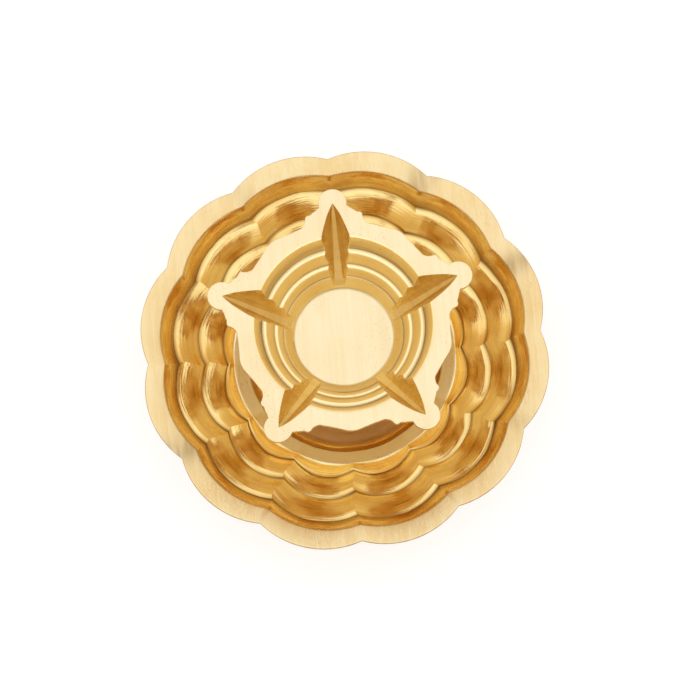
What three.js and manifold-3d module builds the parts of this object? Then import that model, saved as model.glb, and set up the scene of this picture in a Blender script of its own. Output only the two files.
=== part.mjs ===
// Scalloped brass petal bowl with a raised five-wick oil lamp.
// Millimetres, +Z up. The origin is on the floor plane under the middle of the bowl.
// A rim cusp and a lamp spout both point along +Y.

import * as THREE from 'three';
import { mergeVertices } from 'three/addons/utils/BufferGeometryUtils.js';
import Module from 'manifold-3d';

// ---- Heights -------------------------------------------------------------
const FLOOR_BOTTOM_Z = 5.0; // underside of the bowl's floor, on top of the foot ring
const SHEET = 1.5; // wall thickness of the bowl
const FLOOR_Z = FLOOR_BOTTOM_Z + SHEET;
const RIM_Z = 28.0; // outer edge of the bowl's rim
const LAMP_RIM_Z = 65.5; // flat top of the lamp
const LAMP_DEPTH = 21.75; // from the lamp's rim down to its middle disc
const LAMP_FLOOR_Z = LAMP_RIM_Z - LAMP_DEPTH;
const LAMP_UNDER_Z = LAMP_FLOOR_Z - 2.0; // underside of the lamp's cup
const COLLAR_Z = LAMP_UNDER_Z - 2.5; // underside of the spigot's collar
const PEDESTAL_TOP_Z = COLLAR_Z - 0.25;

// ---- Scalloped plan of the bowl ------------------------------------------
const LOBES = 12;
const LOBE_STEPS = 6; // facets along one lobe
const COLUMNS = LOBES * LOBE_STEPS;
const LOBE_ARC_R = 33.0; // radius of one rim arc
const LOBE_ARC_CENTRE = 43.0; // distance of that arc's centre from the axis
const LOBE_PEAK_R = LOBE_ARC_CENTRE + LOBE_ARC_R;
const HALF_LOBE = Math.PI / LOBES;

// ---- Bowl profile, at the middle of a lobe: radius and depth below the rim ----
const RIM_INNER = { r: 68.0, drop: 1.8 };
const CREASE_1 = { r: 64.2, drop: 9.2 };
const CREASE_2 = { r: 54.9, drop: 13.8 };
const CREASE_3 = { r: 46.0, drop: 16.8 };
const LAND_OUTER = { r: 41.2, drop: 13.0 };
const LAND_INNER = { r: 36.4, drop: 15.2 };
const FLOOR_EDGE = { r: 33.0, drop: RIM_Z - FLOOR_Z };
const TIER_SWELL = 0.8; // how far a tier bulges above the line between its creases
const TIER_STEPS = 4;
const SCREW_HOLE_R = 3.0;

// How far each radius is drawn in at the cusps between two lobes.
const CUSP_INSET = [
  [0, 0],
  [33.0, 0],
  [41.2, 0.4],
  [46.0, 2.6],
  [54.9, 3.0],
  [64.2, 2.7],
  [68.0, 2.2],
  [LOBE_PEAK_R, 3.4],
];

// How far each radius is lifted at the cusps.
const CUSP_LIFT = [
  [0, 0],
  [36.4, 0],
  [41.2, 0.5],
  [46.0, 2.4],
  [54.9, 2.6],
  [64.2, 2.4],
  [68.0, 0.6],
  [LOBE_PEAK_R, 0],
];

// How far each radius is carried clockwise, so that every tier laps over the next one.
const LAP = [
  [0, 0],
  [41.2, 0],
  [44.5, 1.2],
  [47.0, 0],
  [48.0, 0.3],
  [53.2, 1.7],
  [56.0, 0],
  [57.0, 0.2],
  [62.5, 1.75],
  [65.5, 0],
  [LOBE_PEAK_R, 0],
];

// ---- Lamp plan: half of one spout's outline, u along the spout, v across it ----
const SPOUTS = 5;
const TIP_BULB_U = 44.7;
const TIP_BULB_R = 5.1;
const TIP_BULB_STEPS = 7;
const TIP_SHOULDER = [
  [42.4, 6.1],
  [41.6, 7.4],
  [40.7, 8.4],
  [40.6, 9.7],
  [39.9, 10.3],
  [38.4, 10.4],
  [37.3, 10.9],
  [36.1, 11.9],
  [35.7, 13.2],
  [34.6, 16.1],
  [33.5, 19.4],
];
const LAMP_RIM_THICK = 1.8;

// ---- Lamp cup: three turned steps down to the disc, radius and depth ----
const CUP_STEPS = [
  [31.8, 0],
  [29.3, 6.4],
  [27.4, 6.6],
  [25.2, 12.0],
  [23.4, 12.2],
  [21.8, 16.7],
  [21.2, 16.8],
  [18.4, LAMP_DEPTH],
];
const CUP_OUTER_TOP_R = 34.2;
const CUP_OUTER_BOTTOM_R = 20.6;
const CUP_SEGMENTS = 45;

// ---- Wick troughs: distance out, depth, half width at the bottom and at the rim ----
const TROUGH_SECTIONS = [
  [44.3, 0.2, 0.15, 0.25],
  [42.6, 1.8, 0.45, 1.4],
  [39.4, 4.3, 0.8, 3.0],
  [33.0, 9.6, 1.1, 5.1],
  [26.0, 15.4, 1.5, 6.6],
  [17.6, LAMP_DEPTH, 2.0, 7.8],
];
const KEEL_WALL = 1.7; // metal left around each trough
const KEEL_SECTIONS = [
  [46.2, 1.6, 0.6, 1.4],
  [42.6, 3.9, 1.6, 3.0],
  [39.4, 6.4, 2.1, 4.6],
  [33.0, 11.6, 2.5, 6.8],
  [26.0, 17.3, 3.0, 8.6],
  [19.0, LAMP_DEPTH + 2.0, 3.6, 10.6],
];

// ---- Stand and fastening --------------------------------------------------
const FOOT_OUTER_R = 36.0;
const FOOT_INNER_R = 32.5;
const TURNED_SEGMENTS = 36;
const SPIGOT_R = 4.5;
const SPIGOT_BOTTOM_Z = 25.0;
const SOCKET_R = 4.8;
const SOCKET_FLOOR_Z = 24.5;
const SCREW_R = 2.2;
const TAPPED_HOLE_R = 2.5;
const TAPPED_HOLE_TOP_Z = 18.5;
const WASHER_Z = FLOOR_BOTTOM_Z - 1.0;

const wasm = await Module();
wasm.setup();

const BRASS_POLISHED = { color: 0xcf9435, roughness: 0.16, metalness: 1 };
const BRASS_SATIN = { color: 0xe2bf7c, roughness: 0.38, metalness: 1 };
const BRASS_PLAIN = { color: 0xb98a3c, roughness: 0.3, metalness: 1 };

function named(name, geometry, look) {
  const mesh = new THREE.Mesh(geometry, new THREE.MeshStandardMaterial(look));
  mesh.name = name;
  return mesh;
}

function toSolid(geometry) {
  const bare = geometry.clone();
  bare.deleteAttribute('normal');
  bare.deleteAttribute('uv');
  const welded = mergeVertices(bare, 1e-4);
  return new wasm.Manifold(
    new wasm.Mesh({
      numProp: 3,
      vertProperties: new Float32Array(welded.attributes.position.array),
      triVerts: new Uint32Array(welded.index.array),
    }),
  );
}

function toGeometry(solid) {
  const mesh = solid.getMesh();
  const geometry = new THREE.BufferGeometry();
  geometry.setAttribute('position', new THREE.BufferAttribute(new Float32Array(mesh.vertProperties), 3));
  geometry.setIndex(new THREE.BufferAttribute(new Uint32Array(mesh.triVerts), 1));
  return geometry;
}

// A turned solid about +Z from [radius, z] pairs that run from the bottom up.
function turned(profile, segments = TURNED_SEGMENTS) {
  const points = profile.map(([r, z]) => new THREE.Vector2(r, z));
  return new THREE.LatheGeometry(points, segments).rotateX(Math.PI / 2);
}

function interpolate(table, x) {
  let i = 1;
  while (i < table.length - 1 && x > table[i][0]) i += 1;
  const [x0, y0] = table[i - 1];
  const [x1, y1] = table[i];
  const t = THREE.MathUtils.clamp((x - x0) / (x1 - x0), 0, 1);
  return y0 + t * (y1 - y0);
}

// ---- Petal bowl -------------------------------------------------------------

// 0 in the middle of a lobe, 1 at a cusp. Cusps lie at every 30 degrees from +X.
function cuspShare(angle) {
  const period = 2 * HALF_LOBE;
  const phi = angle - period * Math.floor(angle / period) - HALF_LOBE;
  const reach = (p) =>
    LOBE_ARC_CENTRE * Math.cos(p) + Math.sqrt(LOBE_ARC_R ** 2 - (LOBE_ARC_CENTRE * Math.sin(p)) ** 2);
  return (LOBE_PEAK_R - reach(phi)) / (LOBE_PEAK_R - reach(HALF_LOBE));
}

// The swollen face of one tier, between its outer and its inner crease.
function tierPoints(outer, inner) {
  const points = [];
  for (let i = 1; i < TIER_STEPS; i += 1) {
    const t = i / TIER_STEPS;
    const rise = 4 * TIER_SWELL * t * (1 - t);
    const chord = THREE.MathUtils.lerp(outer.drop, inner.drop, t);
    points.push([THREE.MathUtils.lerp(outer.r, inner.r, t), RIM_Z - chord + rise]);
  }
  return points;
}

function at(point) {
  return [point.r, RIM_Z - point.drop];
}

// The upper face from the rim's edge in to the screw hole.
function upperProfile() {
  return [
    [LOBE_PEAK_R, RIM_Z - 0.4],
    [LOBE_PEAK_R - 0.5, RIM_Z],
    [RIM_INNER.r + 1.0, RIM_Z - RIM_INNER.drop + 0.3],
    [RIM_INNER.r - 0.2, RIM_Z - RIM_INNER.drop - 0.6],
    [RIM_INNER.r - 1.4, RIM_Z - RIM_INNER.drop - 2.4],
    at(CREASE_1),
    ...tierPoints(CREASE_1, CREASE_2),
    at(CREASE_2),
    ...tierPoints(CREASE_2, CREASE_3),
    at(CREASE_3),
    [CREASE_3.r - 1.5, RIM_Z - CREASE_3.drop + 0.9],
    [CREASE_3.r - 3.0, RIM_Z - LAND_OUTER.drop - 1.2],
    [LAND_OUTER.r + 0.9, RIM_Z - LAND_OUTER.drop - 0.1],
    at(LAND_OUTER),
    at(LAND_INNER),
    [LAND_INNER.r - 0.9, RIM_Z - 18.8],
    [LAND_INNER.r - 2.0, RIM_Z - 21.0],
    at(FLOOR_EDGE),
    [SCREW_HOLE_R, FLOOR_Z],
  ];
}

// The lower face, one sheet thickness under the upper one, from the hole out to the rim.
function lowerProfile(upper) {
  const lower = [[SCREW_HOLE_R, FLOOR_BOTTOM_Z]];
  for (let i = upper.length - 2; i >= 1; i -= 1) {
    const [r, z] = upper[i];
    const before = new THREE.Vector2(upper[i - 1][0] - r, upper[i - 1][1] - z).normalize();
    const after = new THREE.Vector2(r - upper[i + 1][0], z - upper[i + 1][1]).normalize();
    const along = before.clone().add(after).normalize();
    const normal = new THREE.Vector2(along.y, -along.x);
    const half = Math.max(Math.abs(normal.dot(new THREE.Vector2(before.y, -before.x))), 0.62);
    const creased = normal.x * (before.x - after.x) + normal.y * (before.y - after.y) > 0;
    const reach = creased ? SHEET * 0.95 : SHEET / half;
    lower.push([r + normal.x * reach, z + normal.y * reach]);
  }
  lower.push([LOBE_PEAK_R, RIM_Z - SHEET + 0.1]);
  return lower;
}

function sweptBowl() {
  const upper = upperProfile();
  const loop = [...upper, ...lowerProfile(upper)];
  const positions = [];
  const indices = [];
  for (let c = 0; c < COLUMNS; c += 1) {
    const angle = (c / COLUMNS) * 2 * Math.PI;
    const share = cuspShare(angle);
    for (const [r, z] of loop) {
      const radius = r - share * interpolate(CUSP_INSET, r);
      const turn = angle - interpolate(LAP, r) / Math.max(r, 1);
      const height = z + share * interpolate(CUSP_LIFT, r);
      positions.push(radius * Math.cos(turn), radius * Math.sin(turn), height);
    }
  }
  const n = loop.length;
  for (let c = 0; c < COLUMNS; c += 1) {
    const here = c * n;
    const next = ((c + 1) % COLUMNS) * n;
    for (let i = 0; i < n; i += 1) {
      const j = (i + 1) % n;
      indices.push(here + i, next + i, here + j);
      indices.push(next + i, next + j, here + j);
    }
  }
  const geometry = new THREE.BufferGeometry();
  geometry.setAttribute('position', new THREE.Float32BufferAttribute(positions, 3));
  geometry.setIndex(indices);
  return geometry;
}

// ---- Five-wick lamp -----------------------------------------------------------

function starShape() {
  const half = [];
  for (let i = 0; i <= TIP_BULB_STEPS; i += 1) {
    const a = (i / TIP_BULB_STEPS) * THREE.MathUtils.degToRad(105);
    half.push([TIP_BULB_U + TIP_BULB_R * Math.cos(a), TIP_BULB_R * Math.sin(a)]);
  }
  half.push(...TIP_SHOULDER);
  const side = half.slice(1).map(([u, v]) => [u, -v]).reverse();
  const tip = [...side, ...half];
  const shape = [];
  for (let k = 0; k < SPOUTS; k += 1) {
    const a = Math.PI / 2 + (k * 2 * Math.PI) / SPOUTS;
    for (const [u, v] of tip) {
      shape.push(new THREE.Vector2(u * Math.cos(a) - v * Math.sin(a), u * Math.sin(a) + v * Math.cos(a)));
    }
    const middle = a + Math.PI / SPOUTS;
    shape.push(new THREE.Vector2(39.4 * Math.cos(middle), 39.4 * Math.sin(middle)));
  }
  return new THREE.Shape(shape);
}

// A boat-shaped solid through trapezoid sections [distance, depth, bottom half, top half].
function boat(sections, topZ, angle) {
  const positions = [];
  const indices = [];
  for (const [u, depth, bottom, top] of sections) {
    const z = LAMP_RIM_Z - depth;
    for (const [v, height] of [[-bottom, z], [bottom, z], [top, topZ], [-top, topZ]]) {
      positions.push(u * Math.cos(angle) - v * Math.sin(angle), u * Math.sin(angle) + v * Math.cos(angle), height);
    }
  }
  const last = (sections.length - 1) * 4;
  for (let s = 0; s < last; s += 4) {
    for (let i = 0; i < 4; i += 1) {
      const j = (i + 1) % 4;
      indices.push(s + i, s + 4 + i, s + j);
      indices.push(s + j, s + 4 + i, s + 4 + j);
    }
  }
  indices.push(0, 1, 2, 0, 2, 3);
  indices.push(last, last + 2, last + 1, last, last + 3, last + 2);
  const geometry = new THREE.BufferGeometry();
  geometry.setAttribute('position', new THREE.Float32BufferAttribute(positions, 3));
  geometry.setIndex(indices);
  return toSolid(geometry);
}

function lampDish() {
  const rimBottom = LAMP_RIM_Z - LAMP_RIM_THICK;
  const plate = new THREE.ExtrudeGeometry(starShape(), { depth: LAMP_RIM_THICK, bevelEnabled: false });
  let solid = toSolid(plate.translate(0, 0, rimBottom));
  const cup = turned(
    [
      [0, LAMP_UNDER_Z],
      [CUP_OUTER_BOTTOM_R - 1.0, LAMP_UNDER_Z],
      [CUP_OUTER_BOTTOM_R, LAMP_UNDER_Z + 1.0],
      [CUP_OUTER_TOP_R, rimBottom],
      [CUP_OUTER_TOP_R, LAMP_RIM_Z - 0.6],
      [0, LAMP_RIM_Z - 0.6],
    ],
    CUP_SEGMENTS,
  );
  solid = solid.add(toSolid(cup));
  const hollowProfile = CUP_STEPS.map(([r, depth]) => [r, LAMP_RIM_Z - depth]).reverse();
  let hollow = toSolid(
    turned([[0, LAMP_FLOOR_Z], ...hollowProfile, [CUP_STEPS[0][0], LAMP_RIM_Z + 2], [0, LAMP_RIM_Z + 2]], CUP_SEGMENTS),
  );
  for (let k = 0; k < SPOUTS; k += 1) {
    const angle = Math.PI / 2 + (k * 2 * Math.PI) / SPOUTS;
    solid = solid.add(boat(KEEL_SECTIONS, LAMP_RIM_Z - 0.8, angle));
    hollow = hollow.add(boat(TROUGH_SECTIONS, LAMP_RIM_Z + 1, angle));
  }
  return toGeometry(solid.subtract(hollow));
}

// The collar and peg under the lamp, which drop into the pedestal's socket.
function lampSpigot() {
  return turned([
    [0, SPIGOT_BOTTOM_Z],
    [SPIGOT_R - 0.8, SPIGOT_BOTTOM_Z],
    [SPIGOT_R, SPIGOT_BOTTOM_Z + 0.8],
    [SPIGOT_R, COLLAR_Z],
    [9.0, COLLAR_Z],
    [10.5, COLLAR_Z + 0.8],
    [11.5, LAMP_UNDER_Z],
    [0, LAMP_UNDER_Z],
  ]);
}

// ---- Pedestal and fastening -----------------------------------------------------

function pedestal() {
  return turned([
    [0, TAPPED_HOLE_TOP_Z],
    [TAPPED_HOLE_R, TAPPED_HOLE_TOP_Z],
    [TAPPED_HOLE_R, FLOOR_Z],
    [19.0, FLOOR_Z],
    [19.0, FLOOR_Z + 1.6],
    [17.4, FLOOR_Z + 2.6],
    [12.0, FLOOR_Z + 4.2],
    [8.6, FLOOR_Z + 7.0],
    [7.6, FLOOR_Z + 10.0],
    [8.2, FLOOR_Z + 12.5],
    [10.8, FLOOR_Z + 13.8],
    [12.0, FLOOR_Z + 16.0],
    [10.8, FLOOR_Z + 18.2],
    [8.2, FLOOR_Z + 19.5],
    [7.6, FLOOR_Z + 22.5],
    [8.2, FLOOR_Z + 27.0],
    [9.4, FLOOR_Z + 30.5],
    [9.4, PEDESTAL_TOP_Z],
    [SOCKET_R, PEDESTAL_TOP_Z],
    [SOCKET_R, SOCKET_FLOOR_Z],
    [0, SOCKET_FLOOR_Z],
  ]);
}

function footRing() {
  return turned(
    [
      [FOOT_INNER_R, FLOOR_BOTTOM_Z],
      [FOOT_INNER_R, 0],
      [FOOT_OUTER_R - 0.4, 0],
      [FOOT_OUTER_R, 0.4],
      [FOOT_OUTER_R - 1.2, FLOOR_BOTTOM_Z],
      [FOOT_INNER_R, FLOOR_BOTTOM_Z],
    ],
    COLUMNS,
  );
}

function fixingWasher() {
  return turned([
    [SCREW_R + 0.5, FLOOR_BOTTOM_Z],
    [SCREW_R + 0.5, WASHER_Z],
    [7.5, WASHER_Z],
    [7.5, FLOOR_BOTTOM_Z],
    [SCREW_R + 0.5, FLOOR_BOTTOM_Z],
  ]);
}

function fixingScrew() {
  const slot = new THREE.BoxGeometry(12, 1.2, 1.4).translate(0, 0, 1.3);
  const blank = turned([
    [0, 1.0],
    [3.6, 1.0],
    [4.5, 1.8],
    [4.5, WASHER_Z],
    [SCREW_R, WASHER_Z],
    [SCREW_R, TAPPED_HOLE_TOP_Z - 1.5],
    [SCREW_R - 0.8, TAPPED_HOLE_TOP_Z - 0.7],
    [0, TAPPED_HOLE_TOP_Z - 0.7],
  ]);
  return toGeometry(toSolid(blank).subtract(toSolid(slot)));
}

const model = new THREE.Group();

const bowl = new THREE.Group();
bowl.add(named('petal_bowl', sweptBowl(), BRASS_POLISHED));
bowl.add(named('foot_ring', footRing(), BRASS_PLAIN));
bowl.add(named('pedestal', pedestal(), BRASS_POLISHED));
bowl.add(named('fixing_washer', fixingWasher(), BRASS_PLAIN));
bowl.add(named('fixing_screw', fixingScrew(), BRASS_PLAIN));
model.add(bowl);

const lamp = new THREE.Group();
lamp.add(named('lamp_dish', lampDish(), BRASS_SATIN));
lamp.add(named('lamp_spigot', lampSpigot(), BRASS_PLAIN));
model.add(lamp);

export default model;
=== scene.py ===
# %% [markdown]
# # A brass petal bowl with a five-wick oil lamp
#
# The bowl is a scalloped brass dish. Its wall steps down in wavy lapped tiers to a sloped ring and a
# sunk floor. A turned pedestal stands on the floor and carries a star-shaped lamp dish with five
# spouts, where the wicks lie. The engineering solids give every size here. This file rebuilds them
# as smooth meshes and gives them brass.

import math

import bmesh
import bpy
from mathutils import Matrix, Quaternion, Vector, noise


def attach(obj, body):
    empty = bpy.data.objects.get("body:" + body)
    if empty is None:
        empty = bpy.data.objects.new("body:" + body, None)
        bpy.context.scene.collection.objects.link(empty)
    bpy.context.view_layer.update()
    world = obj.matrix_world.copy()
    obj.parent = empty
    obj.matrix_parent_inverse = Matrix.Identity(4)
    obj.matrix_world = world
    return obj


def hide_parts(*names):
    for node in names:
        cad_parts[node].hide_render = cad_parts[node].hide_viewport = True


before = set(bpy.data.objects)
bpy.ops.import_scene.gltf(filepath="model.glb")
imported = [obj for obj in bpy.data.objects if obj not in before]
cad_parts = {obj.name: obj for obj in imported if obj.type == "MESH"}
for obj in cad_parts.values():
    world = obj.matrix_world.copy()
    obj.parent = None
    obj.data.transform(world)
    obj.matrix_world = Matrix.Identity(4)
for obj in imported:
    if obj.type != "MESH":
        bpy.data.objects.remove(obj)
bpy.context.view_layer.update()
MM = 0.001
print("nodes:", sorted(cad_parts))

# %% [markdown]
# ## The camera
#
# The view is steep, from a little more than a metre away, so the nested rings of the bowl and the
# floating star can be read together. A long lens keeps the lamp, which stands nearer, from looking
# too large. The camera could be aimed with a constraint, but setting its place and turn directly
# keeps the file free of anything that has to be evaluated first.

# %% Camera
RIM_Z = 28.0 * MM
VIEW_ELEVATION = math.radians(76.6)
VIEW_AZIMUTH = math.radians(-2.5)
VIEW_ROLL = math.radians(-2.6)
VIEW_DISTANCE = 1.162
LENS = 162.2
SHIFT_X, SHIFT_Y = 0.008, -0.0041

camera_data = bpy.data.cameras.new("studio_camera")
camera_data.sensor_width = 36.0
camera_data.lens = LENS
camera_data.shift_x = SHIFT_X
camera_data.shift_y = SHIFT_Y
camera_data.clip_start = 0.05
camera_data.clip_end = 20.0
camera = bpy.data.objects.new("studio_camera", camera_data)
bpy.context.scene.collection.objects.link(camera)
bpy.context.scene.camera = camera

view_back = Vector(
    (
        math.sin(VIEW_AZIMUTH) * math.cos(VIEW_ELEVATION),
        -math.cos(VIEW_AZIMUTH) * math.cos(VIEW_ELEVATION),
        math.sin(VIEW_ELEVATION),
    )
)
camera.rotation_mode = "QUATERNION"
camera.location = Vector((0, 0, RIM_Z)) + view_back * VIEW_DISTANCE
level = (-view_back).to_track_quat("-Z", "Y")
camera.rotation_quaternion = Quaternion(view_back, VIEW_ROLL) @ level
print("camera at", [round(v, 3) for v in camera.location])

# %% [markdown]
# ## Light and floor
#
# Polished metal shows its surroundings and little else. The room is white overhead, which gives the
# pale flat faces, and warm and darker towards the horizon, which steep faces see. The deep orange of
# the wall comes by itself: light that meets brass two or three times is coloured two or three times.
# A few soft lamps could do the same, but they would leave hard bright bars on every tier.

# %% White room
ROOM_STRENGTH = 1.27
ROOM_HORIZON = (0.60, 0.43, 0.21, 1)
ROOM_WALL = (0.74, 0.56, 0.30, 1)
ROOM_CEILING = (1.0, 1.0, 1.0, 1)

world = bpy.data.worlds.new("white_room")
bpy.context.scene.world = world
world.use_nodes = True
background = world.node_tree.nodes["Background"]
background.inputs["Strength"].default_value = ROOM_STRENGTH

# white overhead, warm and darker towards the horizon
room = world.node_tree
direction = room.nodes.new("ShaderNodeTexCoord")
direction_parts = room.nodes.new("ShaderNodeSeparateXYZ")
room.links.new(direction.outputs["Generated"], direction_parts.inputs["Vector"])
room_walls = room.nodes.new("ShaderNodeValToRGB")
room_walls.color_ramp.elements[0].position = 0.40
room_walls.color_ramp.elements[0].color = ROOM_HORIZON
room_walls.color_ramp.elements[1].position = 0.77
room_walls.color_ramp.elements[1].color = ROOM_CEILING
room_middle = room_walls.color_ramp.elements.new(0.64)
room_middle.color = ROOM_WALL
room.links.new(direction_parts.outputs["Z"], room_walls.inputs["Fac"])
room.links.new(room_walls.outputs["Color"], background.inputs["Color"])
bpy.context.scene.view_settings.view_transform = "Standard"
bpy.context.scene.view_settings.look = "None"
bpy.context.scene.cycles.max_bounces = 16
bpy.context.scene.cycles.glossy_bounces = 12
print("world:", world.name)

# %% Floor
FLOOR_HALF = 3.0
FLOOR_COLOUR = (0.34, 0.36, 0.40, 1)
FLOOR_GLOW = 0.72
floor_mesh = bpy.data.meshes.new("studio_floor")
floor_mesh.from_pydata(
    [
        (-FLOOR_HALF, -FLOOR_HALF, 0),
        (FLOOR_HALF, -FLOOR_HALF, 0),
        (FLOOR_HALF, FLOOR_HALF, 0),
        (-FLOOR_HALF, FLOOR_HALF, 0),
    ],
    [],
    [(0, 1, 2, 3)],
)
floor = bpy.data.objects.new("studio_floor", floor_mesh)
bpy.context.scene.collection.objects.link(floor)
floor_paint = bpy.data.materials.new("floor_paint")
floor_paint.use_nodes = True
floor_shader = floor_paint.node_tree.nodes["Principled BSDF"]
floor_shader.inputs["Base Color"].default_value = FLOOR_COLOUR
floor_shader.inputs["Roughness"].default_value = 0.9
floor_shader.inputs["Emission Color"].default_value = (1, 1, 1, 1)
floor_shader.inputs["Emission Strength"].default_value = FLOOR_GLOW
floor_mesh.materials.append(floor_paint)
print("white room and pale floor are in place")

# %% [markdown]
# ## Brass
#
# One alloy shows several finishes. The rim, the ring and the lamp's star face were rubbed flat on a
# belt and look pale and satin. The wall was buffed and looks deep and glossy. Brown shade is painted
# into the wall's creases and the cup's corners, a few darker patches on the rim are painted dark
# reflections, and the rim's outer edge is painted darker. Each finish is a metal shader whose
# colour, roughness and bump come from stretched noise. Image textures would be quicker, but they
# need unwrapping and blur up close. The ring is painted paler than real brass, as a painted
# reflection of the lamp above it, which it mostly mirrors.

# %% Brass finishes

FRECKLE_BROWN = (0.42, 0.20, 0.06, 1)


def brass(name, pale, deep, roughness, lines, line_depth, darkening_colour=(0.16, 0.07, 0.02), edge=0.0003):
    """A brass with rubbing lines. lines is straight, turned, or contour for the bowl's own wall."""
    material = bpy.data.materials.new(name)
    material.use_nodes = True
    tree = material.node_tree
    nodes, links = tree.nodes, tree.links
    shader = nodes["Principled BSDF"]
    shader.inputs["Metallic"].default_value = 1.0
    coordinates = nodes.new("ShaderNodeTexCoord")

    def noise_at(vector, scale, detail, rough=0.55):
        texture = nodes.new("ShaderNodeTexNoise")
        texture.inputs["Scale"].default_value = scale
        texture.inputs["Detail"].default_value = detail
        texture.inputs["Roughness"].default_value = rough
        links.new(vector, texture.inputs["Vector"])
        return texture.outputs["Fac"]

    def ramp(value, low, high, from_low, from_high):
        mapped = nodes.new("ShaderNodeMapRange")
        mapped.inputs["From Min"].default_value = from_low
        mapped.inputs["From Max"].default_value = from_high
        mapped.inputs["To Min"].default_value = low
        mapped.inputs["To Max"].default_value = high
        links.new(value, mapped.inputs["Value"])
        return mapped.outputs["Result"]

    # where the rubbing lines run
    if lines == "straight":
        stretch = nodes.new("ShaderNodeMapping")
        stretch.inputs["Scale"].default_value = (1.0, 0.03, 1.0)
        links.new(coordinates.outputs["Object"], stretch.inputs["Vector"])
        line_vector = stretch.outputs["Vector"]
    else:
        split = nodes.new("ShaderNodeSeparateXYZ")
        links.new(coordinates.outputs["Object"], split.inputs["Vector"])
        turn = nodes.new("ShaderNodeMath")
        turn.operation = "ARCTAN2"
        links.new(split.outputs["Y"], turn.inputs[0])
        links.new(split.outputs["X"], turn.inputs[1])
        around = nodes.new("ShaderNodeMath")
        around.operation = "MULTIPLY"
        around.inputs[1].default_value = 0.002
        links.new(turn.outputs["Value"], around.inputs[0])
        join = nodes.new("ShaderNodeCombineXYZ")
        links.new(around.outputs["Value"], join.inputs["X"])
        if lines == "contour":
            path = nodes.new("ShaderNodeAttribute")
            path.attribute_name = "path"
            links.new(path.outputs["Fac"], join.inputs["Y"])
        else:
            flat = nodes.new("ShaderNodeCombineXYZ")
            links.new(split.outputs["X"], flat.inputs["X"])
            links.new(split.outputs["Y"], flat.inputs["Y"])
            reach = nodes.new("ShaderNodeVectorMath")
            reach.operation = "LENGTH"
            links.new(flat.outputs["Vector"], reach.inputs[0])
            links.new(reach.outputs["Value"], join.inputs["Y"])
            links.new(split.outputs["Z"], join.inputs["Z"])
        line_vector = join.outputs["Vector"]

    patches = noise_at(coordinates.outputs["Object"], 45.0, 4.0)
    rubbed = noise_at(line_vector, 1600.0, 3.0)
    broad = noise_at(line_vector, 420.0, 2.0)

    streaks = nodes.new("ShaderNodeMath")
    streaks.operation = "ADD"
    links.new(ramp(patches, 0.0, 0.7, 0.38, 0.66), streaks.inputs[0])
    links.new(ramp(broad, 0.0, 0.45, 0.42, 0.62), streaks.inputs[1])
    tone = nodes.new("ShaderNodeMix")
    tone.data_type = "RGBA"
    tone.inputs["A"].default_value = (*pale, 1)
    tone.inputs["B"].default_value = (*deep, 1)
    links.new(streaks.outputs["Value"], tone.inputs["Factor"])

    # small brown freckles that keep to a few areas
    specks = noise_at(coordinates.outputs["Object"], 1300.0, 2.0)
    areas = noise_at(coordinates.outputs["Object"], 60.0, 1.0)
    freckles = nodes.new("ShaderNodeMath")
    freckles.operation = "MULTIPLY"
    links.new(ramp(specks, 0.0, 0.45, 0.60, 0.74), freckles.inputs[0])
    links.new(ramp(areas, 0.0, 1.0, 0.48, 0.62), freckles.inputs[1])
    freckled = nodes.new("ShaderNodeMix")
    freckled.data_type = "RGBA"
    freckled.inputs["B"].default_value = FRECKLE_BROWN
    links.new(freckles.outputs["Value"], freckled.inputs["Factor"])
    links.new(tone.outputs["Result"], freckled.inputs["A"])

    # painted shade in creases and corners, painted dark reflections and a darker outer edge on the rim, all
    # read from one mesh attribute and mixed towards the darkening colour
    painted_shade_and_darkening = nodes.new("ShaderNodeAttribute")
    painted_shade_and_darkening.attribute_name = "painted_shade_and_darkening"
    darkening_amount = nodes.new("ShaderNodeMath")
    darkening_amount.operation = "MULTIPLY"
    links.new(painted_shade_and_darkening.outputs["Fac"], darkening_amount.inputs[0])
    links.new(ramp(broad, 0.45, 1.0, 0.3, 0.6), darkening_amount.inputs[1])
    colour = nodes.new("ShaderNodeMix")
    colour.data_type = "RGBA"
    colour.inputs["B"].default_value = (*darkening_colour, 1)
    links.new(darkening_amount.outputs["Value"], colour.inputs["Factor"])
    links.new(freckled.outputs["Result"], colour.inputs["A"])
    links.new(colour.outputs["Result"], shader.inputs["Base Color"])

    dullness = nodes.new("ShaderNodeMath")
    dullness.operation = "ADD"
    links.new(ramp(rubbed, roughness * 0.8, roughness * 1.25, 0.3, 0.7), dullness.inputs[0])
    # where that darkening is painted the brass is also made a little rougher
    duller_where_darkened = nodes.new("ShaderNodeMath")
    duller_where_darkened.operation = "MULTIPLY"
    duller_where_darkened.inputs[1].default_value = 0.3
    links.new(darkening_amount.outputs["Value"], duller_where_darkened.inputs[0])
    links.new(duller_where_darkened.outputs["Value"], dullness.inputs[1])
    links.new(dullness.outputs["Value"], shader.inputs["Roughness"])

    height = nodes.new("ShaderNodeMath")
    height.operation = "ADD"
    links.new(rubbed, height.inputs[0])
    links.new(broad, height.inputs[1])
    bump = nodes.new("ShaderNodeBump")
    bump.inputs["Strength"].default_value = 1.0
    bump.inputs["Distance"].default_value = line_depth
    links.new(height.outputs["Value"], bump.inputs["Height"])
    if edge:
        rounding = nodes.new("ShaderNodeBevel")
        rounding.samples = 4
        rounding.inputs["Radius"].default_value = edge
        links.new(rounding.outputs["Normal"], bump.inputs["Normal"])
    links.new(bump.outputs["Normal"], shader.inputs["Normal"])
    return material


SATIN_PALE = (0.80, 0.64, 0.36)
SATIN_DEEP = (0.76, 0.56, 0.27)
GLOSS_PALE = (0.90, 0.71, 0.31)
GLOSS_DEEP = (0.80, 0.53, 0.18)
STAR_PALE = (0.84, 0.71, 0.46)
STAR_DEEP = (0.80, 0.65, 0.39)

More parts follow.
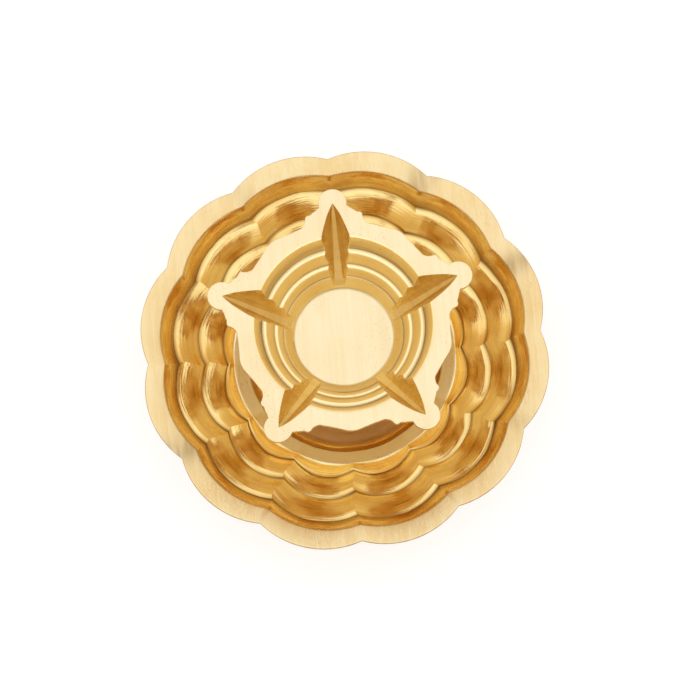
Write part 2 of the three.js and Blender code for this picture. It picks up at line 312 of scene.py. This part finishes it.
satin_rim = brass(
    "satin_rim_brass", SATIN_PALE, SATIN_DEEP, 0.30, "straight", 0.000009, (0.36, 0.25, 0.13), 0
)
gloss_wall = brass(
    "gloss_wall_brass", GLOSS_PALE, GLOSS_DEEP, 0.11, "contour", 0.00009, (0.20, 0.09, 0.02), 0
)
# the ring's near-white colour is a painted reflection of the pale lamp above it
satin_ring_painted_pale = brass("satin_ring_brass", (1.0, 0.98, 0.80), (0.97, 0.91, 0.66), 0.42, "turned", 0.00005)
dull_floor = brass("dull_floor_brass", (0.66, 0.47, 0.26), (0.56, 0.37, 0.18), 0.32, "turned", 0.00002)
plain_under = brass("plain_underside_brass", (0.78, 0.57, 0.28), (0.70, 0.48, 0.20), 0.36, "contour", 0.00002)
satin_star = brass("satin_star_brass", STAR_PALE, STAR_DEEP, 0.30, "straight", 0.00002)
turned_cup = brass("turned_cup_brass", (0.97, 0.83, 0.49), (0.92, 0.75, 0.39), 0.33, "turned", 0.00003)
trough = brass("wick_trough_brass", (0.86, 0.70, 0.40), (0.76, 0.58, 0.28), 0.20, "turned", 0.00001)
gloss_turned = brass("gloss_turned_brass", GLOSS_PALE, GLOSS_DEEP, 0.12, "turned", 0.00001)
plain_turned = brass("plain_turned_brass", (0.66, 0.48, 0.24), (0.58, 0.39, 0.16), 0.32, "turned", 0.00003)
print("brass finishes:", len(bpy.data.materials))

# %% [markdown]
# ## Helpers for turned and swept metal
#
# Most of this object came off a lathe or was drawn along one profile, so nearly every piece can be
# made from a list of radius and height pairs. Real edges are never perfectly sharp, so each corner
# is first cut into a small curve. A bevel modifier does the same, but it works on angles it has to
# guess; here the rounding of each corner is known.

# %% Profile helpers


def softened(points, cut, steps=4):
    """The same open profile with each corner replaced by a small curve that starts cut mm away."""
    out = [points[0]]
    for before, corner, after in zip(points, points[1:], points[2:]):
        a, b, c = Vector(before), Vector(corner), Vector(after)
        reach_in = min(cut, (b - a).length * 0.45)
        reach_out = min(cut, (c - b).length * 0.45)
        if reach_in < 1e-4 or reach_out < 1e-4:
            out.append(corner)
            continue
        start = b + (a - b).normalized() * reach_in
        end = b + (c - b).normalized() * reach_out
        for i in range(steps + 1):
            t = i / steps
            point = start * (1 - t) ** 2 + b * 2 * t * (1 - t) + end * t**2
            out.append((point.x, point.y))
    out.append(points[-1])
    return out


def finish_mesh(name, vertices, faces, materials, body, node):
    """Makes an object of a mesh in metres, lets it ride on its body and stand for its node."""
    mesh = bpy.data.meshes.new(name)
    mesh.from_pydata(vertices, [], faces)
    mesh.update()
    for material in materials:
        mesh.materials.append(material)
    piece = bpy.data.objects.new(name, mesh)
    bpy.context.scene.collection.objects.link(piece)
    for polygon in mesh.polygons:
        polygon.use_smooth = True
    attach(piece, body)
    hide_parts(node)
    return piece


def turned_mesh(profile, segments):
    """Vertices and faces of a solid of revolution. Points on the axis become one vertex."""
    vertices, rings = [], []
    for radius, z in profile:
        if radius < 1e-6:
            rings.append([len(vertices)] * segments)
            vertices.append((0.0, 0.0, z * MM))
            continue
        rings.append(list(range(len(vertices), len(vertices) + segments)))
        for s in range(segments):
            a = 2 * math.pi * s / segments
            vertices.append((radius * MM * math.cos(a), radius * MM * math.sin(a), z * MM))
    faces = []
    for lower, upper in zip(rings, rings[1:]):
        for s in range(segments):
            t = (s + 1) % segments
            corners = [lower[s], lower[t], upper[t], upper[s]]
            faces.append(tuple(dict.fromkeys(corners)))
    return vertices, faces


def turned_piece(name, profile, material, body, node, cut=0.25, segments=128):
    """A whole turned piece from its profile, which runs from the bottom up."""
    closed = profile[0] == profile[-1]
    shape = softened(profile, cut)
    vertices, faces = turned_mesh(shape, segments)
    piece = finish_mesh(name, vertices, faces, [material], body, node)
    sharpen(piece.data, 40)
    if closed:
        weld(piece.data)
    return piece


def sharpen(mesh, degrees):
    """Edges that turn more than this are drawn sharp, all others smooth."""
    mesh.set_sharp_from_angle(angle=math.radians(degrees))


def weld(mesh, reach=1e-6):
    """Joins vertices that lie in the same place."""
    bm = bmesh.new()
    bm.from_mesh(mesh)
    bmesh.ops.remove_doubles(bm, verts=bm.verts, dist=reach)
    bm.to_mesh(mesh)
    bm.free()


print("helpers are ready")

# %% [markdown]
# ## The petal bowl
#
# The wall is one profile carried round a twelve-lobed path. Near the cusps each point of the profile
# moves in towards the axis and up a little, and each tier is carried a short way clockwise so it
# laps over the next. The tiers, the creases between them and the ridges where two lobes meet all
# come from the same sweep. A displaced round dish would blur those ridges; here a column of
# vertices lies exactly on each of them.

# %% Sizes of the bowl
LOBES = 12
LOBE_STEPS = 24
LOBE_ARC = 33.0
LOBE_ARC_CENTRE = 43.0
LOBE_PEAK = LOBE_ARC + LOBE_ARC_CENTRE
COVE_R, COVE_Z = 35.4, 7.6
EDGE_RELIEF = 0.08
RIM = 28.0
SHEET = 1.5
FLOOR_TOP = 6.5
CREASES = [(64.2, 9.2), (54.9, 13.8), (46.0, 16.8)]
TIER_SWELLS = [0.8, 0.8]
TIER_CREST = 0.5
TIER_POWER = 2.0
TIER_POINTS = 22
LIP_RISE = [(44.5, 15.9), (43.0, 14.2)]
RING_INNER = (36.4, 15.2)
HOLE = 3.0
CUSP_INSET = [
    (0, 0),
    (33.0, 0),
    (41.2, 0.4),
    (46.0, 2.6),
    (54.9, 3.0),
    (64.2, 2.7),
    (68.0, 2.2),
    (LOBE_PEAK, 3.4),
]
# How far a point is lifted at the cusps.
CUSP_LIFT = [
    (0, 0),
    (36.4, 0),
    (41.2, 0.5),
    (46.0, 2.4),
    (54.9, 2.6),
    (64.2, 2.4),
    (68.0, 0.6),
    (LOBE_PEAK, 0),
]
# How far a point is carried clockwise along its lobe, so each tier laps over the next.
LAP = [
    (0, 0),
    (41.2, 0),
    (44.5, 1.2),
    (47.0, 0),
    (48.0, 0.3),
    (53.2, 1.7),
    (56.0, 0),
    (57.0, 0.2),
    (62.5, 1.75),
    (65.5, 0),
    (LOBE_PEAK, 0),
]


def from_table(table, x):
    """The value at x on the straight lines between a table's points."""
    for (x0, y0), (x1, y1) in zip(table, table[1:]):
        if x <= x1:
            return y0 + (y1 - y0) * max(0.0, (x - x0) / (x1 - x0))
    return table[-1][1]


def lobe_reach(phi):
    """Distance from the axis to the rim's edge, phi away from the middle of a lobe."""
    return LOBE_ARC_CENTRE * math.cos(phi) + math.sqrt(
        LOBE_ARC**2 - (LOBE_ARC_CENTRE * math.sin(phi)) ** 2
    )


def cusp_share(angle):
    """0 at the middle of a lobe and 1 at a cusp."""
    half = math.pi / LOBES
    phi = angle % (2 * half) - half
    return (LOBE_PEAK - lobe_reach(phi)) / (LOBE_PEAK - lobe_reach(half))


# %% Profile of the bowl


def tier_rise(t):
    """Swell of a tier as a share of its full swell, t of the way in from its outer crease."""
    side = TIER_CREST if t < TIER_CREST else 1 - TIER_CREST
    return 1 - (abs(t - TIER_CREST) / side) ** TIER_POWER


def tier_points(start, end, height):
    """The wall from one crease to the next, swollen by up to height."""
    points = []
    for i in range(1, TIER_POINTS):
        t = 0.5 - 0.5 * math.cos(math.pi * i / TIER_POINTS)
        rise = height * tier_rise(t)
        r = start[0] + (end[0] - start[0]) * t
        points.append((r, RIM - (start[1] + (end[1] - start[1]) * t) + rise))
    return points


def stretch(points, zone):
    """The same points, each with the finish that it gets."""
    return [(r, z, zone) for r, z in points]


def upper_profile():
    """The upper face from the rim's edge to the screw hole, with the finish of each stretch."""
    edge = LOBE_PEAK - EDGE_RELIEF
    rim = softened(
        [
            (edge, RIM - SHEET * 0.5),
            (edge, RIM - 0.05),
            (68.2, RIM - 1.75),
            (66.8, RIM - 4.1),
            (CREASES[0][0], RIM - CREASES[0][1]),
        ],
        0.9,
        6,
    )
    turn = next(i for i, (r, z) in enumerate(rim) if r < 68.1)
    points = stretch(rim[:turn], "satin") + stretch(rim[turn:], "wall")
    points += stretch(tier_points(CREASES[0], CREASES[1], TIER_SWELLS[0]), "wall")
    points += stretch([(CREASES[1][0], RIM - CREASES[1][1])], "wall")
    points += stretch(tier_points(CREASES[1], CREASES[2], TIER_SWELLS[1]), "wall")
    lip = softened(
        [
            *[(r, RIM - drop) for r, drop in [CREASES[2], *LIP_RISE]],
            (41.9, RIM - 13.1),
            (41.1, RIM - 12.95),
            (RING_INNER[0], RIM - RING_INNER[1]),
        ],
        0.6,
        6,
    )
    turn = next(i for i, (r, z) in enumerate(lip) if r < 41.6)
    points += stretch(lip[:turn], "wall") + stretch(lip[turn:], "land")
    cove = softened(
        [
            (RING_INNER[0], RIM - RING_INNER[1]),
            (35.5, RIM - 18.9),
            (33.0, FLOOR_TOP),
            (HOLE, FLOOR_TOP),
        ],
        2.4,
        10,
    )
    turn = next(i for i, (r, z) in enumerate(cove) if r < 33.2)
    points += stretch(cove[1:turn], "wall") + stretch(cove[turn:], "floor")
    return points


def lower_corners():
    """The lower face, one sheet thickness under the upper one, from the hole to the rim."""
    upper = [(76.0, RIM - 0.4), (75.5, RIM), (69.0, RIM - 1.5), (67.8, RIM - 2.4), (66.6, RIM - 4.2)]
    steps = 6
    for k in range(2):
        upper.append((CREASES[k][0], RIM - CREASES[k][1]))
        for i in range(1, steps):
            t = i / steps
            r = CREASES[k][0] + (CREASES[k + 1][0] - CREASES[k][0]) * t
            chord = CREASES[k][1] + (CREASES[k + 1][1] - CREASES[k][1]) * t
            upper.append((r, RIM - chord + TIER_SWELLS[k] * tier_rise(t)))
    upper += [(r, RIM - drop) for r, drop in [CREASES[2], *LIP_RISE]]
    upper += [(42.1, RIM - 13.1), (41.2, RIM - 13.0), (RING_INNER[0], RIM - RING_INNER[1])]
    upper += [(35.5, RIM - 18.8), (34.4, RIM - 21.0)]
    upper += [(33.0, FLOOR_TOP), (HOLE, FLOOR_TOP)]
    lower = [(HOLE, FLOOR_TOP - SHEET)]
    for i in range(len(upper) - 2, 0, -1):
        here = Vector(upper[i])
        before = (Vector(upper[i - 1]) - here).normalized()
        after = (here - Vector(upper[i + 1])).normalized()
        along = (before + after).normalized()
        normal = Vector((along.y, -along.x))
        half = max(abs(normal.dot(Vector((before.y, -before.x)))), 0.62)
        creased = normal.dot(before - after) > 0
        point = here + normal * (SHEET * 0.95 if creased else SHEET / half)
        lower.append((point.x, point.y))
    lower.append((LOBE_PEAK - EDGE_RELIEF, RIM - SHEET + 0.1))
    return lower


def rounded_off(points, rounds=3):
    """Cuts every corner of an open path a few times, which leaves a smooth curve."""
    for _ in range(rounds):
        out = [points[0]]
        for (x0, y0), (x1, y1) in zip(points, points[1:]):
            out.append((0.75 * x0 + 0.25 * x1, 0.75 * y0 + 0.25 * y1))
            out.append((0.25 * x0 + 0.75 * x1, 0.25 * y0 + 0.75 * y1))
        out.append(points[-1])
        points = out
    return points


bowl_profile = upper_profile() + stretch(rounded_off(lower_corners(), 2), "under")
print("bowl profile points:", len(bowl_profile))

# %% Sweep the bowl
ZONES = {"satin": 0, "wall": 1, "land": 2, "floor": 3, "under": 4}
WALL_WAVE, WALL_WAVE_FINE = 0.27, 0.11
columns = LOBES * LOBE_STEPS
count = len(bowl_profile)
path_length = [0.0]
for (r0, z0, _), (r1, z1, _) in zip(bowl_profile, bowl_profile[1:]):
    path_length.append(path_length[-1] + math.hypot(r1 - r0, z1 - z0))

bowl_vertices = []
for c in range(columns):
    angle = 2 * math.pi * c / columns
    share = cusp_share(angle)
    for r, z, zone in bowl_profile:
        reach = r - share * from_table(CUSP_INSET, r)
        ripple = 0.0
        if zone == "wall":
            spot = Vector((math.cos(angle) * reach, math.sin(angle) * reach, z * 2)) * 0.11
            ripple = WALL_WAVE * noise.noise(spot) + WALL_WAVE_FINE * noise.noise(spot * 2.7)
        reach += ripple
        turned_by = angle - from_table(LAP, r) / max(r, 1.0)
        height = z + share * from_table(CUSP_LIFT, r)
        bowl_vertices.append(
            (reach * MM * math.cos(turned_by), reach * MM * math.sin(turned_by), height * MM)
        )
bowl_faces, bowl_zone = [], []
for c in range(columns):
    here, beyond = c * count, ((c + 1) % columns) * count
    for i in range(count):
        j = (i + 1) % count
        bowl_faces.append((here + i, beyond + i, beyond + j, here + j))
        bowl_zone.append(ZONES[bowl_profile[min(i, j) if j else i][2]])

petal_bowl = finish_mesh(
    "petal_bowl_swept",
    bowl_vertices,
    bowl_faces,
    [satin_rim, gloss_wall, satin_ring_painted_pale, dull_floor, plain_under],
    "bowl",
    "petal_bowl",
)
petal_bowl.data.polygons.foreach_set("material_index", bowl_zone)
print("petal bowl faces:", len(bowl_faces))

# %% Lines, painted shade and darkening on the bowl
crease_places = [(r, RIM - drop) for r, drop in CREASES] + [(COVE_R, COVE_Z)]
# how far the painted shade spreads from each crease, in mm
CREASE_SHADE_SPREAD = 0.7
# how dark the rim's outer edge band is painted
RIM_EDGE_DARKENING = 0.9
# Angle round the rim, spread in degrees, and strength of each painted dark reflection on the rim.
RIM_DARK_REFLECTIONS = [(22, 3.5, 0.55), (61, 4.0, 0.5), (118, 3.0, 0.25), (208, 4.5, 0.6), (331, 3.0, 0.3)]
path_layer = petal_bowl.data.attributes.new("path", "FLOAT", "POINT")
darkening_layer = petal_bowl.data.attributes.new("painted_shade_and_darkening", "FLOAT", "POINT")
path_values, darkening_values = [], []
for c in range(columns):
    share = cusp_share(2 * math.pi * c / columns)
    dark_reflection = 0.0
    for degrees, spread, strength in RIM_DARK_REFLECTIONS:
        off = (360 * c / columns - degrees + 180) % 360 - 180
        dark_reflection += strength * math.exp(-((off / spread) ** 2))
    for i, (r, z, zone) in enumerate(bowl_profile):
        path_values.append(path_length[i] * MM)
        near = min(math.hypot(r - x, z - y) for x, y in crease_places)
        # painted shade that darkens the wall close to each crease, more so towards the cusps
        darkening_here = math.exp(-((near / CREASE_SHADE_SPREAD) ** 2)) * (0.55 + 0.45 * share)
        # on the rim: painted dark reflections at a few angles, and the outer edge painted darker
        if zone == "satin":
            darkening_here = dark_reflection + (RIM_EDGE_DARKENING if r > LOBE_PEAK - 0.2 and z < RIM - 0.1 else 0.0)
        elif zone not in ("wall", "land"):
            darkening_here = 0.0
        darkening_values.append(min(1.0, darkening_here))
path_layer.data.foreach_set("value", path_values)
darkening_layer.data.foreach_set("value", darkening_values)
sharpen(petal_bowl.data, 28)
print("creases darkened:", len(crease_places))

# %% [markdown]
# ## Foot ring, pedestal and fastening
#
# These are plain lathe work. The ring is soldered under the floor, and the pedestal stands on the
# floor and is drawn down by a screw and washer from below. Each is a profile turned about the axis.

# %% Turned pieces of the bowl
turned_piece(
    "foot_ring_turned",
    [(32.5, 5.0), (32.5, 0.0), (35.6, 0.0), (35.95, 0.4), (34.8, 5.0), (32.5, 5.0)],
    plain_turned,
    "bowl",
    "foot_ring",
    segments=192,
)
turned_piece(
    "pedestal_turned",
    [
        (0, 18.5),
        (2.5, 18.5),
        (2.5, 6.5),
        (19.0, 6.5),
        (19.0, 8.1),
        (17.4, 9.1),
        (12.0, 10.7),
        (8.6, 13.5),
        (7.6, 16.5),
        (8.2, 19.0),
        (10.8, 20.3),
        (12.0, 22.5),
        (10.8, 24.7),
        (8.2, 26.0),
        (7.6, 29.0),
        (8.2, 33.5),
        (9.4, 37.0),
        (9.4, 39.0),
        (4.8, 39.0),
        (4.8, 24.5),
        (0, 24.5),
    ],
    gloss_turned,
    "bowl",
    "pedestal",
    cut=0.8,
)
turned_piece(
    "fixing_washer_turned",
    [(2.7, 5.0), (2.7, 4.0), (7.5, 4.0), (7.5, 5.0), (2.7, 5.0)],
    plain_turned,
    "bowl",
    "fixing_washer",
    cut=0.15,
)
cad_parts["fixing_screw"].data.materials.clear()
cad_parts["fixing_screw"].data.materials.append(plain_turned)
print("turned pieces of the bowl are made")

# %% [markdown]
# ## The lamp dish
#
# The star was cast, faced flat on top and turned inside. It is built here the way a machinist would
# think of it: a star-shaped plate, a cup and five keels are joined, then the turned hollow and five
# wick troughs are cut away. Booleans suit it because the troughs cross the turned steps at an
# angle, which no single grid of faces would follow.

# %% Sizes of the lamp
LAMP_RIM = 65.5
LAMP_DEPTH = 21.75
LAMP_FLOOR = LAMP_RIM - LAMP_DEPTH
SPOUTS = 5
PLATE = 1.8
BULB_AT, BULB_R = 44.7, 5.1
SHOULDER = [
    (42.4, 6.1),
    (41.6, 7.4),
    (40.7, 8.4),
    (40.6, 9.7),
    (39.9, 10.3),
    (38.4, 10.4),
    (37.3, 10.9),
    (36.1, 11.9),
    (35.7, 13.2),
    (34.6, 16.1),
    (33.5, 19.4),
]
SIDE_REACH = 39.4
CUP_STEPS = [
    (31.8, 0),
    (29.3, 6.4),
    (27.4, 6.6),
    (25.2, 12.0),
    (23.4, 12.2),
    (21.8, 16.7),
    (21.2, 16.8),
    (18.4, LAMP_DEPTH),
]
TROUGH = [
    (44.3, 0.2, 0.15, 0.25),
    (42.6, 1.8, 0.45, 1.4),
    (39.4, 4.3, 0.8, 3.0),
    (33.0, 9.6, 1.1, 5.1),
    (26.0, 15.4, 1.5, 6.6),
    (17.6, LAMP_DEPTH, 2.0, 7.8),
]
KEEL = [
    (46.2, 1.6, 0.6, 1.4),
    (42.6, 3.9, 1.6, 3.0),
    (39.4, 6.4, 2.1, 4.6),
    (33.0, 11.6, 2.5, 6.8),
    (26.0, 17.3, 3.0, 8.6),
    (19.0, LAMP_DEPTH + 2.0, 3.6, 10.6),
]


# %% Blanks and cutters


def blank(name, vertices, faces):
    """A loose helper object for a boolean. It is removed afterwards."""
    mesh = bpy.data.meshes.new(name)
    mesh.from_pydata(vertices, [], faces)
    thing = bpy.data.objects.new(name, mesh)
    bpy.context.scene.collection.objects.link(thing)
    return thing


def star_outline():
    """The star's edge: for each spout a round end and two stepped shoulders, then a bowed side."""
    half = []
    for i in range(25):
        a = math.radians(105) * i / 24
        half.append((BULB_AT + BULB_R * math.cos(a), BULB_R * math.sin(a)))
    shoulder = softened([half[-1]] + SHOULDER, 0.5, 3)[1:]
    half += shoulder
    mirrored = [(u, -v) for u, v in reversed(half[1:])]
    outline = []
    for k in range(SPOUTS):
        a = math.pi / 2 + 2 * math.pi * k / SPOUTS
        for u, v in mirrored + half:
            outline.append((u * math.cos(a) - v * math.sin(a), u * math.sin(a) + v * math.cos(a)))
        for i in range(1, 8):
            b = a + math.radians(30.1 + (72 - 60.2) * i / 8)
            reach = SIDE_REACH - 0.75 * abs(i / 4 - 1) ** 2
            outline.append((reach * math.cos(b), reach * math.sin(b)))
    return outline


def plate_blank():
    """The star as a flat plate."""
    outline = star_outline()
    n = len(outline)
    low, high = (LAMP_RIM - PLATE) * MM, LAMP_RIM * MM
    vertices = [(x * MM, y * MM, low) for x, y in outline]
    vertices += [(x * MM, y * MM, high) for x, y in outline]
    faces = [tuple(reversed(range(n))), tuple(range(n, 2 * n))]
    faces += [(i, (i + 1) % n, n + (i + 1) % n, n + i) for i in range(n)]
    return blank("star_blank", vertices, faces)


def smooth_sections(sections, steps=4):
    """More sections between the given ones, on a curve that passes through all of them."""
    padded = [sections[0], *sections, sections[-1]]
    out = []
    for a, b, c, d in zip(padded, padded[1:], padded[2:], padded[3:]):
        for i in range(steps):
            t = i / steps
            out.append(
                tuple(
                    0.5 * (2 * q + (r - p) * t + (2 * p - 5 * q + 4 * r - s) * t**2)
                    + 0.5 * (3 * q - p - 3 * r + s) * t**3
                    for p, q, r, s in zip(a, b, c, d)
                )
            )
    return out + [sections[-1]]


def boat_half(low_half, high_half, low, high):
    """One side of a boat's section, from the middle of its bottom up to its top edge."""
    side = [(0.0, low), (low_half * 0.8, low), (low_half * 1.25, low + (high - low) * 0.05)]
    for t in (0.2, 0.45, 0.7):
        bulge = 0.35 * (high_half - low_half) * t * (1 - t)
        side.append((low_half + (high_half - low_half) * t + bulge, low + (high - low) * t))
    return side + [(high_half, high)]


def boat_blank(sections, top, angle):
    """A boat-shaped solid along one spout, through the given sections."""
    vertices = []
    for u, depth, low_half, high_half in smooth_sections(sections):
        side = boat_half(low_half, high_half, LAMP_RIM - depth, top)
        for v, height in side + [(-v, height) for v, height in reversed(side[1:])]:
            x = u * math.cos(angle) - v * math.sin(angle)
            y = u * math.sin(angle) + v * math.cos(angle)
            vertices.append((x * MM, y * MM, height * MM))
    n = len(side) * 2 - 1
    faces = []
    last = len(vertices) - n
    for s in range(0, last, n):
        for i in range(n):
            j = (i + 1) % n
            faces.append((s + i, s + n + i, s + n + j, s + j))
    faces += [tuple(range(n)), tuple(range(last + n - 1, last - 1, -1))]
    return blank("boat_blank", vertices, faces)


def combine(base, other, operation):
    """Joins other to base, or cuts it away, and removes other."""
    change = base.modifiers.new("combine", "BOOLEAN")
    change.operation = operation
    change.solver = "EXACT"
    change.object = other
    evaluated = base.evaluated_get(bpy.context.evaluated_depsgraph_get())
    result = bpy.data.meshes.new_from_object(evaluated)
    base.modifiers.clear()
    base.data = result
    bpy.data.objects.remove(other)


# %% Build the lamp dish
cup_profile = softened(
    [
        (0, LAMP_FLOOR - 2),
        (19.6, LAMP_FLOOR - 2),
        (20.6, LAMP_FLOOR - 1),
        (34.2, LAMP_RIM - PLATE),
        (34.2, LAMP_RIM - 0.6),
        (0, LAMP_RIM - 0.6),
    ],
    0.4,
)
lip = [(31.5, -0.9), (31.85, -0.38), (32.5, -0.1), (33.4, 0.02), (33.4, 2), (0, 2)]
hollow_profile = softened(
    [(0, LAMP_FLOOR)] + [(r, LAMP_RIM - depth) for r, depth in reversed(CUP_STEPS[1:])], 0.95, 6
) + [(r, LAMP_RIM + rise) for r, rise in lip]
lamp_blank = plate_blank()
combine(lamp_blank, blank("cup_blank", *turned_mesh(cup_profile, 180)), "UNION")
hollow = blank("hollow_blank", *turned_mesh(hollow_profile, 180))
for k in range(SPOUTS):
    spout_angle = math.pi / 2 + 2 * math.pi * k / SPOUTS
    combine(lamp_blank, boat_blank(KEEL, LAMP_RIM - 0.8, spout_angle), "UNION")
    combine(hollow, boat_blank(TROUGH, LAMP_RIM + 1, spout_angle), "UNION")
combine(lamp_blank, hollow, "DIFFERENCE")
print("lamp dish faces:", len(lamp_blank.data.polygons))

# %% Finish the lamp dish
lamp_mesh = lamp_blank.data
lamp_mesh.name = "lamp_dish_cast"
lamp_blank.name = "lamp_dish_cast"
lamp_mesh.materials.clear()
for finish in (satin_star, turned_cup, trough, plain_under):
    lamp_mesh.materials.append(finish)
for polygon in lamp_mesh.polygons:
    centre = polygon.center / MM
    reach = math.hypot(centre.x, centre.y)
    polygon.use_smooth = True
    depth = LAMP_RIM - centre.z
    wall_r = from_table([(d, r) for r, d in CUP_STEPS], depth)
    if polygon.normal.z > 0.9 and (depth < 0.15 or centre.z < LAMP_FLOOR + 0.1):
        polygon.material_index = 0
    elif polygon.normal.z < 0.02 or centre.z < LAMP_FLOOR - 0.1:
        polygon.material_index = 3
    elif reach < wall_r + 0.6 or depth < 0.6:
        polygon.material_index = 1
    else:
        polygon.material_index = 2
sharpen(lamp_mesh, 24)

# painted shade in the corners at the foot of each turned step
CORNER_SHADE, CORNER_SHADE_SPREAD = 0.6, 0.5
corners = CUP_STEPS[1::2]
corner_shade_layer = lamp_mesh.attributes.new("painted_shade_and_darkening", "FLOAT", "POINT")
values = []
for vertex in lamp_mesh.vertices:
    place = vertex.co / MM
    r, depth = math.hypot(place.x, place.y), LAMP_RIM - place.z
    near = min(math.hypot(r - x, depth - y) for x, y in corners)
    values.append(CORNER_SHADE * math.exp(-((near / CORNER_SHADE_SPREAD) ** 2)))
corner_shade_layer.data.foreach_set("value", values)
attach(lamp_blank, "lamp")
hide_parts("lamp_dish")

turned_piece(
    "lamp_spigot_turned",
    [
        (0, 25.0),
        (3.7, 25.0),
        (4.5, 25.8),
        (4.5, 39.25),
        (9.0, 39.25),
        (10.5, 40.05),
        (11.5, 41.75),
        (0, 41.75),
    ],
    plain_turned,
    "lamp",
    "lamp_spigot",
)
print("lamp is finished")
